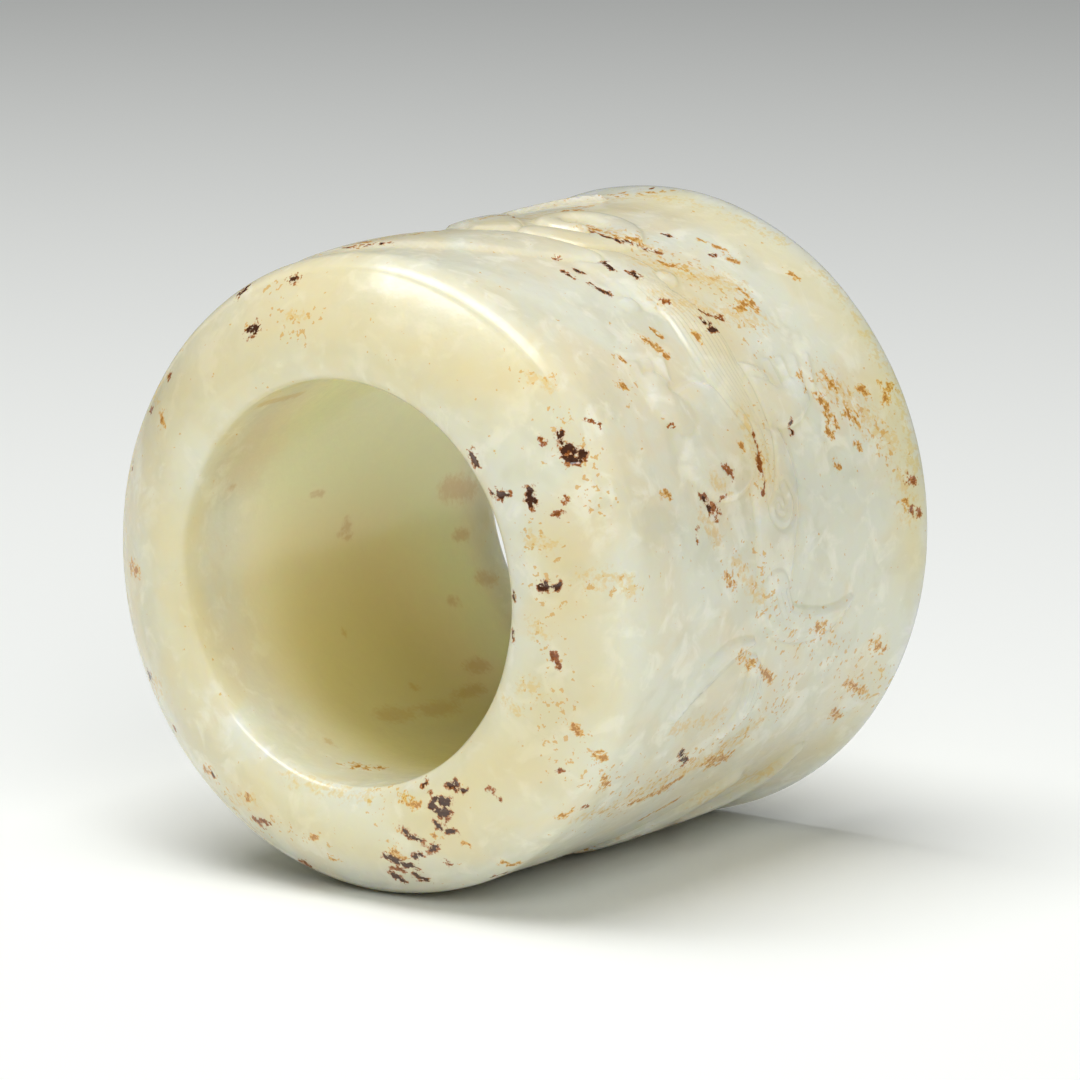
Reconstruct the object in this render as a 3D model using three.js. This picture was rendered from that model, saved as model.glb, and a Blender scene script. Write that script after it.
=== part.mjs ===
// A carved jade thumb ring, of the kind an archer wears: a short thick tube with a bevelled front end,
// a bore that is a little wider at the rear, and low relief round its side. It lies on its side, with its
// bore along Y and the bevelled end towards -Y. Millimetres, +Z up. The origin is under the middle of the
// ring, on the floor.
//
// The relief is worked out on the unrolled side of the ring, where a place is (s, y): s millimetres round
// the side from +X towards the top, and y millimetres back from the front end.

import * as THREE from "three";

// Driving dimensions of the ring
const ringLength = 26.5;
const boreRadius = 9.55; // at the front, the tighter end
const boreRearRadius = 10.3;
const boreLipRound = 0.8; // rounding where the bore meets each end
const crownWidth = 1.15; // from the bore out to the foremost circle of the front end
const creaseRadius = 15.15; // outer edge of the front bevel
const bevelLength = 2.7; // from the foremost circle back to that edge
const bevelCurve = 1.9; // 1 is a straight bevel, more is rounder
const rearRadius = 15.3; // the side widens a little towards the rear
const rearEdgeRound = 0.5;
const restDepth = 0.26; // how far the worn resting flat is cut into the rear rim

// Driving dimensions of the relief
const reliefRise = 0.38; // height of the raised figures, and of the rear rim, over the ground
const reliefShoulder = 0.55; // width of their rounded edges
const plainFront = 0.8; // uncarved band behind the crease
const plainRear = 1.4; // raised rim at the rear end
const beastLength = 23; // a hornless dragon, from its nose to the bend of its tail
const beastAngle = 26; // degrees from +X towards the top, at its shoulder
const beastForward = 1.7; // its spine runs this far in front of the carved band's middle
const cloudLength = 15;
const topCloudAngle = 99;
const lowCloudAngle = -69;

// Fineness of the faceted surface
const sideColumns = 148;
const endColumns = sideColumns / 2;
const sideRows = 27;
const bevelRows = 4;
const boreRows = 2;
const roundRows = 2;

const jade = new THREE.MeshStandardMaterial({ name: "jade", color: 0xdfe0cb, roughness: 0.22, metalness: 0 });

const degree = Math.PI / 180;
const quarterTurn = 90 * degree;
const fullTurn = 360 * degree;
const clamp = (x, low, high) => Math.min(Math.max(x, low), high);
const mix = (a, b, k) => a + (b - a) * k;
const smooth = (x) => {
  const k = clamp(x, 0, 1);
  return k * k * (3 - 2 * k);
};

const carvingStart = bevelLength + plainFront;
const carvingEnd = ringLength - plainRear;
const carvingMiddle = (carvingStart + carvingEnd) / 2;

// Height of the bore's axis. The front end lies on its crease and the rear end on its resting flat, so the
// wider rear end carries the axis a little higher.
function axisHeight(y) {
  return mix(creaseRadius, rearRadius + reliefRise - restDepth, y / ringLength);
}

// The smooth side of the ring, under the relief: a cone that widens from the crease to the rear.
function groundRadius(y) {
  return mix(creaseRadius, rearRadius, (y - bevelLength) / (ringLength - bevelLength));
}
const unrollRadius = groundRadius(carvingMiddle);
const girth = fullTurn * unrollRadius;

// A raised band along a smooth spine. Each point is [along, across, half width], in shares of the figure's
// size and counted from its middle: along runs round the ring, across runs back along it.
function band(place, points) {
  const curve = new THREE.CatmullRomCurve3(points.map((point) => new THREE.Vector3(...point)));
  const stepsPerPoint = 5;
  return curve.getPoints(stepsPerPoint * points.length).map((p) => ({
    s: place.angle * degree * unrollRadius + p.x * place.size,
    y: carvingMiddle - place.forward + p.y * place.size,
    half: p.z * place.size,
  }));
}

// A round boss: a band too short to show a direction.
function boss(place, along, across, radius) {
  const nearby = along + radius / 100;
  return band(place, [[along, across, radius], [nearby, across, radius]]);
}

// A curl: a band that winds inwards round a centre, and thins as it goes.
function curl(place, along, across, radius, startTurn, turns, half) {
  const count = 9;
  const windIn = 0.72;
  const thinning = 0.45;
  const points = [];
  for (let i = 0; i < count; i++) {
    const k = i / (count - 1);
    const turn = (startTurn + turns * k) * fullTurn;
    const reach = radius * (1 - windIn * k);
    points.push([along + reach * Math.cos(turn), across + reach * Math.sin(turn), half * (1 - thinning * k)]);
  }
  return band(place, points);
}

// Toes of a paw: short bands side by side, fanned about the paw's direction.
function toes(place, along, across, count, gap, length, slope) {
  const bands = [];
  const fan = 0.12;
  const rootHalf = 0.013;
  const tipHalf = 0.016;
  for (let i = 0; i < count; i++) {
    const fromMiddle = i - (count - 1) / 2;
    const lean = slope + fan * fromMiddle;
    const root = across + fromMiddle * gap;
    const tip = [along + length * Math.cos(lean), root + length * Math.sin(lean), tipHalf];
    bands.push(band(place, [[along, root, rootHalf], tip]));
  }
  return bands;
}

// The hornless dragon, seen from above: its head at the right, its mane combed back over the neck, two
// forelegs that start in rounded shoulders, and a tail that bends back and ends in tufts.
function beast(place) {
  const head = band(place, [[0.37, 0.02, 0.07], [0.42, 0.03, 0.09], [0.47, 0.01, 0.075], [0.515, -0.02, 0.045]]);
  const mane = band(place, [[0.33, -0.005, 0.06], [0.24, -0.01, 0.058], [0.15, -0.012, 0.053],
    [0.06, 0.022, 0.042], [-0.015, 0.048, 0.02], [-0.075, 0.016, 0.01]]);
  const body = band(place, [[0.02, 0.06, 0.08], [-0.12, 0.075, 0.08], [-0.24, 0.05, 0.07], [-0.34, 0.04, 0.055]]);
  const tail = band(place, [[-0.34, 0.04, 0.055], [-0.405, 0.09, 0.045], [-0.43, 0.18, 0.04],
    [-0.43, 0.27, 0.03], [-0.4, 0.33, 0.012]]);
  const upperLeg = band(place, [[0.07, -0.16, 0.05], [0.11, -0.185, 0.042], [0.14, -0.175, 0.034]]);
  const lowerLeg = band(place, [[0.05, 0.12, 0.06], [0.03, 0.2, 0.045], [0.05, 0.255, 0.038]]);
  const upperTuft = band(place, [[-0.43, -0.02, 0.012], [-0.445, -0.1, 0.03], [-0.5, -0.19, 0.028],
    [-0.56, -0.24, 0.012]]);
  const lowerTuft = band(place, [[-0.47, 0, 0.012], [-0.53, 0.03, 0.03], [-0.6, 0.03, 0.025], [-0.65, -0.02, 0.01]]);
  return [
    head,
    boss(place, 0.335, -0.065, 0.028),
    boss(place, 0.385, 0.125, 0.03),
    mane,
    body,
    tail,
    boss(place, 0, -0.078, 0.13),
    upperLeg,
    ...toes(place, 0.14, -0.172, 3, 0.037, 0.055, 0.3),
    boss(place, 0.07, 0.115, 0.075),
    lowerLeg,
    ...toes(place, 0.055, 0.26, 4, 0.036, 0.075, 0.25),
    curl(place, -0.165, 0.07, 0.045, 0.1, 1.1, 0.014),
    upperTuft,
    lowerTuft,
  ];
}

// A drifting cloud: a thick arched body, a curl under each end, and a wisp that trails to the rear.
function cloud(place) {
  return [
    band(place, [[-0.52, -0.12, 0.05], [-0.34, -0.26, 0.12], [-0.12, -0.42, 0.16], [0.14, -0.5, 0.17],
      [0.36, -0.42, 0.14], [0.52, -0.24, 0.09]]),
    curl(place, 0.42, -0.06, 0.19, 0.85, 1.1, 0.075),
    curl(place, -0.3, 0.12, 0.2, 0.75, -1.1, 0.075),
    band(place, [[-0.14, -0.1, 0.09], [0.06, 0.08, 0.11], [0.2, 0.3, 0.09], [0.12, 0.5, 0.05], [-0.06, 0.58, 0.02]]),
  ];
}

// A low cloud: a long body and a curl in the rear half of the side, and a small cloudlet ahead of them.
function wisp(place) {
  return [
    band(place, [[-0.5, 0.26, 0.03], [-0.32, 0.1, 0.09], [-0.08, 0.02, 0.12], [0.18, 0.06, 0.11], [0.4, 0.18, 0.05]]),
    curl(place, -0.12, 0.34, 0.17, 0.6, 1.1, 0.07),
    band(place, [[0.1, 0.3, 0.07], [0.28, 0.44, 0.06], [0.48, 0.48, 0.02]]),
    band(place, [[-0.62, -0.42, 0.06], [-0.46, -0.5, 0.14], [-0.28, -0.46, 0.12], [-0.18, -0.36, 0.04]]),
  ];
}

const halfTurnDegrees = 180;
const bands = [
  ...beast({ angle: beastAngle, forward: beastForward, size: beastLength }),
  ...beast({ angle: beastAngle + halfTurnDegrees, forward: beastForward, size: beastLength }),
  ...cloud({ angle: topCloudAngle, forward: 0, size: cloudLength }),
  ...wisp({ angle: lowCloudAngle, forward: 0, size: cloudLength }),
];

// Height of one band at a place, from 0 outside it to 1 on its spine: it steps up at the band's edge and
// is domed between its edges, so that bands that cross stay apart to the eye.
function bandHeight(spine, s, y) {
  const doming = 0.5;
  let height = 0;
  for (let i = 0; i + 1 < spine.length; i++) {
    const a = spine[i];
    const b = spine[i + 1];
    const ds = b.s - a.s;
    const dy = b.y - a.y;
    const from = s - a.s - girth * Math.round((s - a.s) / girth);
    const k = clamp((from * ds + (y - a.y) * dy) / (ds * ds + dy * dy), 0, 1);
    const distance = Math.hypot(from - k * ds, y - a.y - k * dy);
    const half = mix(a.half, b.half, k);
    const dome = 1 - doming * Math.min(distance / half, 1) ** 2;
    height = Math.max(height, dome * smooth((half - distance) / reliefShoulder + 0.5));
  }
  return height;
}

// Height of the relief: the highest band at a place, kept off the plain band at the front, and the raised
// rim at the rear end.
function relief(angle, y) {
  const s = angle * unrollRadius;
  const carved = smooth((y - carvingStart) / reliefShoulder);
  const rim = smooth((y - carvingEnd) / reliefShoulder + 0.5);
  const figures = Math.max(...bands.map((spine) => bandHeight(spine, s, y)));
  return reliefRise * Math.max(figures * carved, rim);
}

// The ring's section as rows of { radius, y, columns }, in order: up the bore from the rear, over the
// front end, back along the side, and down the rear end.
function sectionRows() {
  const rows = [];
  for (let i = 0; i <= boreRows; i++) {
    const y = mix(ringLength - boreLipRound, boreLipRound, i / boreRows);
    rows.push({ radius: mix(boreRadius, boreRearRadius, y / ringLength), y, columns: endColumns });
  }
  const crownRadius = boreRadius + crownWidth;
  for (let i = 1; i <= roundRows; i++) {
    const turn = (quarterTurn * i) / roundRows;
    const radius = mix(crownRadius, boreRadius, Math.cos(turn));
    rows.push({ radius, y: boreLipRound * (1 - Math.sin(turn)), columns: endColumns });
  }
  for (let i = 1; i < bevelRows; i++) {
    const k = i / bevelRows;
    rows.push({ radius: mix(crownRadius, creaseRadius, k), y: bevelLength * k ** bevelCurve, columns: endColumns });
  }
  const sideEnd = ringLength - rearEdgeRound;
  for (let i = 0; i <= sideRows; i++) {
    const y = mix(bevelLength, sideEnd, i / sideRows);
    rows.push({ radius: groundRadius(y), y, columns: sideColumns });
  }
  const rimRadius = groundRadius(sideEnd) + reliefRise;
  for (let i = 1; i <= roundRows; i++) {
    const turn = (quarterTurn * i) / roundRows;
    const y = ringLength - rearEdgeRound * (1 - Math.sin(turn));
    rows.push({ radius: rimRadius - rearEdgeRound * (1 - Math.cos(turn)), y, columns: endColumns });
  }
  rows.push({ radius: boreRearRadius + boreLipRound, y: ringLength, columns: endColumns });
  return rows;
}

// Joins two rows of points with triangles, stepping along whichever row is behind.
function stitch(here, beyond, triangles) {
  let i = 0;
  let j = 0;
  while (i < here.columns || j < beyond.columns) {
    const a = here.first + (i % here.columns);
    const b = beyond.first + (j % beyond.columns);
    const stepHere = (i + 1) * beyond.columns <= (j + 1) * here.columns;
    if (stepHere) {
      i++;
      triangles.push(a, b, here.first + (i % here.columns));
    } else {
      j++;
      triangles.push(a, b, beyond.first + (j % beyond.columns));
    }
  }
}

// The closed surface: each row is carried round the bore, the rows of the side are raised by the relief,
// and what would reach below the table is held at it.
function ringGeometry() {
  const rows = sectionRows();
  const positions = [];
  for (const row of rows) {
    row.first = positions.length / 3;
    for (let column = 0; column < row.columns; column++) {
      const angle = (column / row.columns) * fullTurn - quarterTurn;
      const reach = row.columns === sideColumns ? row.radius + relief(angle, row.y) : row.radius;
      const height = Math.max(reach * Math.sin(angle) + axisHeight(row.y), 0);
      positions.push(reach * Math.cos(angle), row.y - ringLength / 2, height);
    }
  }
  const triangles = [];
  rows.forEach((row, i) => stitch(row, rows[(i + 1) % rows.length], triangles));
  const geometry = new THREE.BufferGeometry();
  geometry.setAttribute("position", new THREE.Float32BufferAttribute(positions, 3));
  geometry.setIndex(triangles);
  geometry.computeVertexNormals();
  return geometry;
}

const ring = new THREE.Mesh(ringGeometry(), jade);
ring.name = "ring";

const thumbRing = new THREE.Group();
thumbRing.add(ring);

export default thumbRing;
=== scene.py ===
"""A carved jade thumb ring lying on a pale table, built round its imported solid."""

import math

import bpy
import numpy as np
from bpy.props import FloatProperty, FloatVectorProperty, PointerProperty
from mathutils import Matrix, Vector
from mathutils.bvhtree import BVHTree


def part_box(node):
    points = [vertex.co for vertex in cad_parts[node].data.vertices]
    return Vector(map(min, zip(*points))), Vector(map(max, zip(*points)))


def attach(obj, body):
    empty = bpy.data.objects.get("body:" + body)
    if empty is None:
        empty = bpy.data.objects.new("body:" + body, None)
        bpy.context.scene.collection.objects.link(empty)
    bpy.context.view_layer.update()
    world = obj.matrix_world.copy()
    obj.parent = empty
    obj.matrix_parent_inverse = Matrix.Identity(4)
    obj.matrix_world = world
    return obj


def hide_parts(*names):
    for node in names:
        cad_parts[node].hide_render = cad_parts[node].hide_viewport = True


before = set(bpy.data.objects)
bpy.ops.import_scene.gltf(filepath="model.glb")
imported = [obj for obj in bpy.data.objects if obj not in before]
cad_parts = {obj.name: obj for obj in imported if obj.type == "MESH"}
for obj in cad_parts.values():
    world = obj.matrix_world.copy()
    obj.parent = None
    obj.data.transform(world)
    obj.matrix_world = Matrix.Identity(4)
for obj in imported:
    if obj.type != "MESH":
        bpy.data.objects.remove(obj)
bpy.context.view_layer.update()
cad_low, cad_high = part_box("ring")

bl_info = {
    "name": "Carved jade thumb ring",
    "version": (1, 0, 0),
    "blender": (4, 5, 0),
    "location": "View3D > Sidebar > Thumb ring",
    "description": "Carves and finishes a jade thumb ring and lays it on a lit table",
    "category": "Add Mesh",
}

MM = 0.001
FULL_TURN = 2 * math.pi
PHOTO_PIXELS = 1080
SENSOR_MM = 36.0
CLIP_START = 0.01
TABLE_HALF = 3.0

# The ring's grid: rows along its section and columns round it, closest together on the carving that the
# photograph shows. Marks along the side are shares of the ring's length, and those round it are degrees
# from +X towards the top. The side's densities start and end at its own ends.
BORE_ROWS = 34
BEVEL_ROWS = 32
SIDE_ROWS = 116
ROUNDING_STEPS = 6
COLUMNS = 490
SIDE_MARKS = np.array([6.5, 11.6, 12.0, 15.6, 16.0, 21]) / 26.5
SIDE_DENSITY = (1.0, 1.3, 1.8, 4.6, 4.6, 1.7, 1.5, 0.8)
ROUND_MARKS = (-180, -45, -32, 76, 90, 180)
ROUND_DENSITY = (1, 1, 2.6, 2.6, 1, 1)
DENSITY_SAMPLES = 4000

# Carving: a band's dome, the thickness over which its hair fades at a thin end, a curl's points and how much
# its reach and its width shrink, a paw's toes as shares of the figure's size, and how close to the crease the
# bevel's own rows may come, as a share of the softened part.
DOME = 0.5
HAIR_FADE = 0.5 * MM
SPINE_STEPS = 6
CURL_POINTS = 9
CURL_SHRINK = 0.72
CURL_THIN = 0.45
TOE_ROOT = 0.01
TOE_TIP = 0.012
TOE_FAN = 0.12
TOE_RISE = 0.55
HEAD_RISE = 0.7
CREASE_CLEARANCE = 1.05

# Worn waves: how many sines, their whole turns round the ring, and their turns in a length of 26 mm. They
# are shallower on the ends and in the bore, which they widen.
WAVE_SEED = 7
WAVE_COUNT = 14
WAVES_ROUND = (3, 16)
WAVES_ALONG = (1.5, 6)
WAVES_LENGTH = 26 * MM
BORE_WEAR = -0.4
BEVEL_WEAR = 0.5

# Stains on the far side: the share of the columns where they start and end, how far their ends stray, and
# how their sizes run from the smallest share of the largest one up to it, with most of them small.
STAIN_SEED = 11
FAR_COLUMNS = (0.84, 1.22)
STAIN_STRAY = 0.8
SMALLEST_SHARE = 0.35
SIZE_POWER = 1.5

# Where the bore's painted light and painted shade come in: over these shares of its length from the rear and
# from the front. The painted light is a paler colour deep in the bore, for light that shines through the
# stone. The painted shade is a darker olive on its floor, full below the first height and gone above the
# second.
BORE_FADE_REAR = 0.15
BORE_FADE_FRONT = 0.35
FLOOR_FADE_REAR = 0.5
FLOOR_FULL = 6 * MM
FLOOR_GONE = 22 * MM

# A russet halo is this much wider than its black stain. A freckled area adds this help to the freckles'
# noise, from just outside its mean edge to nearly its middle.
HALO_PIXELS = 1.2
FRECKLE_HELP = 0.125
FRECKLE_EDGE = 0.3
FRECKLE_FULL = 0.8

# Grit is the sum of a coarse and a fine noise, each sharpened over the same range and given its share of
# one unit. Pits open where a stain is full, and wear leaves shallow waves.
GRIT_SHARES = {"coarse_grit": 0.72, "fine_grit": 0.28}
GRIT_RANGE = (0.3, 0.7)
PIT_RANGE = (-0.2, 0.8)
PIT_DEPTH = 0.05 * MM
WEAR_HEIGHT = 0.03 * MM

# Finish: the stone's polish and refraction, how far red, green and blue light spread in it, and the matt
# paint of the table.
JADE_ROUGHNESS = 0.22
JADE_IOR = 1.61
JADE_LIGHT_REACH = (6.5 * MM, 5.6 * MM, 3.2 * MM)
TABLE_ROUGHNESS = 0.7

# Stains that the photograph shows, by kind. Each is a short line between two spots, with its half width:
# x, y, x, y and half width in pixels of the 1080-pixel photograph. The three largest are called the eye, on
# the front end, the flower, on the side, and the star, on the lower lip.
BLACK_STAINS = {
    "eye's thorn": (555, 434, 560, 438, 1.6),
    "eye's stem": (561, 434, 563, 441, 2.2),
    "eye's neck": (562, 440, 565, 446, 2.8),
    "eye's left side": (565, 447, 563, 454, 2.1),
    "eye's top": (567, 446, 574, 447, 1.9),
    "eye's right side": (575, 448, 574, 456, 2.1),
    "eye's foot": (564, 457, 571, 461, 2.4),
    "eye's foot, right": (571, 460, 579, 461, 2.2),
    "eye's lobe": (580, 460, 582, 451, 2.6),
    "eye's lobe, tip": (582, 451, 586, 452, 2),
    "face, high left": (250, 331, 255, 328, 5),
    "face, left rim": (241, 293, 247, 287, 4.5),
    "face, top": (291, 279, 296, 279, 3.2),
    "bore edge, high": (471, 452, 476, 464, 3),
    "bore edge, middle": (494, 493, 499, 496, 3),
    "beside the bore edge": (503, 495, 507, 495, 2.5),
    "face, upright": (530, 491, 532, 503, 3.6),
    "face, upright's foot": (527, 500, 535, 499, 2),
    "face, level": (541, 585, 549, 587, 3),
    "face, level's end": (552, 587, 559, 586, 2.4),
    "bore edge, right": (513, 592, 514, 599, 2.5),
    "bore edge, low right": (513, 632, 513, 638, 2.5),
    "top edge, dark": (343, 248, 366, 245, 1.6),
    "top edge, dark end": (372, 244, 392, 242, 1.4),
    "top, speck": (555, 258, 558, 258, 2),
    "top, first dot": (605, 263, 611, 268, 3.2),
    "top, second dot": (635, 274, 637, 276, 3.4),
    "top, long dash": (589, 283, 600, 290, 2),
    "top, long dash's end": (600, 290, 611, 295, 1.8),
    "top, short dash": (563, 271, 572, 277, 1.8),
    "top, second short dash": (575, 270, 582, 273, 1.8),
    "top, crack": (603, 236, 619, 241, 1.8),
    "top, crack's middle": (622, 241, 630, 242, 2),
    "top, crack's end": (636, 244, 654, 251, 2),
    "top, far dash": (663, 234, 669, 236, 2.2),
    "top, farther dot": (711, 254, 714, 255, 2.4),
    "over the mane": (703, 321, 709, 324, 2.6),
    "over the mane, second": (709, 330, 716, 329, 2.4),
    "flower's heart": (704, 500, 709, 508, 3.2),
    "shoulder, thin": (791, 421, 791, 432, 2),
    "low side, comma": (681, 752, 685, 762, 2.8),
    "above the lip": (424, 782, 426, 786, 2.6),
    "star's top": (436, 798, 449, 801, 2.6),
    "star's left side": (434, 801, 431, 808, 2.6),
    "star's middle": (441, 800, 442, 808, 3),
    "star's foot": (434, 811, 446, 812, 2.8),
    "star's right side": (447, 803, 449, 810, 2.2),
    "star's tail": (441, 815, 445, 818, 1.8),
    "beside the star": (448, 785, 456, 784, 2.6),
    "beside the star, right": (457, 789, 466, 791, 2),
    "under the star": (436, 824, 440, 829, 2.6),
    "under the star, right": (446, 831, 454, 832, 2.2),
    "lip, left dash": (403, 829, 409, 836, 2),
    "lip, left dash's end": (409, 836, 421, 840, 2.2),
    "lip, dot": (430, 850, 436, 846, 2.4),
    "lip, low dot": (415, 858, 420, 855, 2.8),
    "lip, right dot": (447, 862, 449, 865, 2),
    "lip, lowest dash": (386, 856, 398, 861, 3.2),
    "lip, lowest dash's end": (398, 862, 410, 866, 2.8),
    "lip, lowest right": (414, 867, 420, 878, 3),
    "lip, lowest far right": (424, 880, 428, 880, 2.4),
    "lip, lowest left": (393, 874, 403, 881, 3),
}
RUSSET_STAINS = {
    "eye's heart": (568, 450, 570, 453, 4),
    "over the eye": (541, 438, 542, 443, 3),
    "crest right of the eye": (585, 420, 592, 421, 1.8),
    "crest right of the eye, end": (593, 420, 601, 427, 1.8),
    "face, hook": (556, 514, 560, 512, 3.4),
    "face, hook's tip": (564, 499, 566, 501, 3),
    "side, flower": (703, 498, 712, 511, 5),
    "side, flower's spots": (713, 513, 717, 519, 2.6),
    "side, flower's right spot": (718, 505, 720, 512, 2.6),
    "side, flower's upper right": (721, 498, 725, 496, 2.6),
    "side, flower's stem": (697, 528, 698, 540, 2),
    "side, flower's seed": (697, 538, 698, 540, 3),
    "side, over the flower": (724, 468, 732, 475, 4),
    "along the hair": (753, 430, 758, 452, 2.2),
    "along the hair, low": (758, 452, 761, 471, 3.2),
    "under the hair": (765, 484, 763, 494, 1.8),
    "top, over the mane": (660, 299, 669, 302, 3),
    "mane, top": (700, 310, 722, 318, 3),
    "shoulder speck": (669, 425, 673, 427, 2.6),
    "face, brown": (551, 652, 557, 660, 3.2),
    "face, brown's tail": (556, 662, 560, 668, 2),
    "star's heart": (435, 805, 438, 808, 3.6),
    "lip, brown over the lowest": (393, 868, 402, 871, 3.4),
    "low right, dot": (489, 789, 492, 791, 2.6),
    "low right, second dot": (499, 797, 501, 799, 2.4),
    "low left, dot": (262, 822, 270, 824, 3.4),
    "underside, dot": (559, 770, 563, 771, 2.6),
    "underside, second dot": (584, 806, 588, 807, 2.6),
    "top, crack's brown": (590, 230, 603, 236, 2.4),
    "top, crack's brown end": (654, 251, 662, 254, 2.4),
    "top, by the second dot": (626, 271, 629, 274, 2),
    "lip, lowest": (404, 894, 416, 894, 3),
    "rear rim, first": (907, 478, 915, 482, 4),
    "rear rim, second": (910, 509, 919, 513, 4),
    "front end's left rim": (149, 404, 152, 411, 3.4),
}
ORANGE_STAINS = {
    "far shoulder, a": (826, 379, 833, 386, 5),
    "far shoulder, b": (820, 400, 827, 406, 6),
    "far shoulder, c": (828, 417, 836, 422, 5),
    "far shoulder, d": (846, 413, 858, 419, 4.5),
    "far shoulder, e": (861, 389, 866, 395, 4.5),
    "far shoulder, f": (827, 430, 833, 434, 4.5),
    "far shoulder, g": (857, 444, 861, 448, 4),
    "rear, upper a": (880, 385, 885, 390, 4),
    "rear, upper b": (890, 383, 896, 388, 4),
    "rear, upper c": (884, 400, 889, 403, 4),
    "rear, middle": (903, 503, 907, 507, 5),
    "side, high dot": (835, 465, 839, 467, 4),
    "side, dot by the hair": (739, 444, 743, 448, 4),
    "top rear, dot": (791, 275, 796, 278, 4),
    "top rear, dash": (726, 257, 735, 261, 4),
    "mane, far edge": (741, 290, 757, 310, 3.6),
    "mane, far edge low": (736, 308, 750, 304, 4),
    "neck, dot": (664, 493, 669, 496, 4),
    "ear, streak": (641, 336, 668, 356, 4),
    "ear, streak high": (652, 330, 662, 338, 3),
    "ear, dot": (694, 335, 699, 339, 4),
    "paw, dot": (618, 358, 624, 360, 2.6),
    "paw, low dot": (618, 383, 626, 387, 3.4),
    "low side, a": (574, 729, 580, 733, 4),
    "low side, b": (597, 755, 604, 758, 4),
    "low side, c": (602, 778, 608, 785, 4),
    "underside, a": (562, 816, 572, 811, 3.5),
    "lower lip, right": (464, 843, 469, 845, 3),
    "lower lip, far right": (504, 862, 516, 864, 4),
    "lip, by the star": (405, 801, 416, 804, 5),
    "underside, patch": (708, 762, 727, 757, 7),
    "underside, streak": (632, 803, 668, 788, 4),
    "underside, second streak": (640, 820, 676, 800, 3),
    "underside, third streak": (648, 796, 684, 776, 3),
    "lower left lip": (309, 836, 318, 838, 3),
    "bore, left streak": (344, 764, 372, 767, 4),
    "bore, second streak": (356, 769, 381, 768, 3.5),
    "top edge, ahead": (366, 243, 440, 231, 2.2),
    "top edge, behind": (478, 220, 560, 203, 2.4),
    "top edge, further behind": (560, 203, 640, 190, 2.4),
    "top edge, on the cloud": (600, 196, 680, 190, 3),
    "top, above the dots": (587, 226, 612, 234, 3.5),
    "top, between the dots": (617, 238, 640, 240, 4),
    "top, by the crack": (660, 262, 690, 272, 3),
    "top, right of the crack": (700, 240, 728, 252, 3),
    "shoulder, streak": (800, 372, 806, 392, 3),
    "flank, dot": (818, 626, 826, 630, 5),
    "flank, low dot": (832, 712, 838, 718, 5),
    "flank, dash": (872, 640, 884, 650, 4),
    "flank, mark": (846, 683, 866, 694, 4),
    "side, under the flower": (726, 576, 732, 584, 4),
    "side, low flower": (741, 655, 752, 665, 5),
    "side, lower flower": (760, 668, 772, 680, 4),
}
PALE_STAINS = {
    "face, right patch": (588, 581, 604, 579, 7),
    "face, right second patch": (617, 578, 634, 590, 7),
    "face, by the crease": (530, 540, 550, 546, 6),
    "face, low": (533, 626, 540, 634, 6),
    "face, lower": (522, 683, 534, 692, 7),
    "face, lower still": (505, 703, 518, 712, 5),
    "lower lip": (290, 778, 370, 795, 7),
    "lower lip, left": (232, 800, 255, 800, 6),
    "underside, long": (672, 730, 722, 716, 7),
    "underside, longer": (640, 792, 740, 742, 8),
    "underside, near": (575, 820, 640, 795, 6),
    "side, under the shoulder": (690, 770, 760, 720, 7),
    "top, skin": (360, 246, 450, 230, 6),
    "top, skin behind": (470, 222, 640, 192, 6),
    "top, skin over the shoulder": (640, 195, 780, 240, 9),
    "rear shoulder": (820, 270, 880, 360, 8),
    "rear edge": (890, 370, 915, 470, 10),
    "rear, speckled": (830, 385, 890, 440, 14),
    "mane's root": (660, 300, 760, 320, 11),
    "flower's halo": (704, 520, 716, 540, 7),
    "flower's upper halo": (713, 480, 726, 488, 7),
    "mane's end": (745, 420, 765, 470, 9),
    "face, high mark": (290, 314, 304, 318, 5),
    "face, high right mark": (532, 378, 550, 384, 6),
    "side, middle mark": (735, 560, 760, 600, 7),
    "underside, rear": (700, 800, 765, 772, 10),
    "top, tan": (590, 232, 650, 250, 13),
    "top, tan behind": (640, 262, 735, 285, 12),
    "rear edge, low": (903, 476, 912, 512, 12),
}
FRECKLED_AREAS = {
    "low side": (610, 810, 780, 700, 45),
    "low side, ahead": (560, 740, 620, 790, 40),
    "right of the bore": (535, 540, 560, 700, 35),
    "right of the bore, level": (590, 580, 640, 588, 18),
    "round the eye": (560, 420, 600, 500, 30),
    "face, high": (284, 308, 312, 318, 18),
    "face, under the crease": (520, 372, 560, 386, 16),
    "top": (590, 232, 740, 300, 40),
    "paw": (615, 350, 630, 400, 20),
    "far shoulder": (820, 380, 890, 450, 35),
    "behind the mane": (740, 300, 760, 480, 25),
    "rear, low": (820, 640, 880, 690, 40),
    "middle of the side": (740, 560, 800, 640, 40),
    "lip": (380, 800, 520, 870, 35),
    "lower left lip": (230, 800, 320, 840, 18),
    "face, left": (210, 300, 300, 330, 25),
}
CREAM_CLOUDS = {
    "face, high left": (170, 400, 330, 290, 70),
    "face, by the bore": (170, 520, 190, 660, 45),
    "face, left rim": (130, 470, 140, 640, 25),
    "lower lip": (250, 800, 400, 860, 35),
    "face, low right": (440, 830, 560, 700, 60),
    "right of the bore": (560, 560, 590, 700, 38),
    "top": (420, 235, 680, 195, 30),
    "top, behind the crease": (570, 240, 720, 290, 30),
    "face, high right": (340, 320, 500, 380, 55),
    "far shoulder": (700, 215, 860, 330, 40),
    "rear": (880, 380, 915, 560, 35),
    "underside": (700, 795, 820, 750, 35),
    "behind the mane": (690, 300, 760, 460, 35),
}
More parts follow.
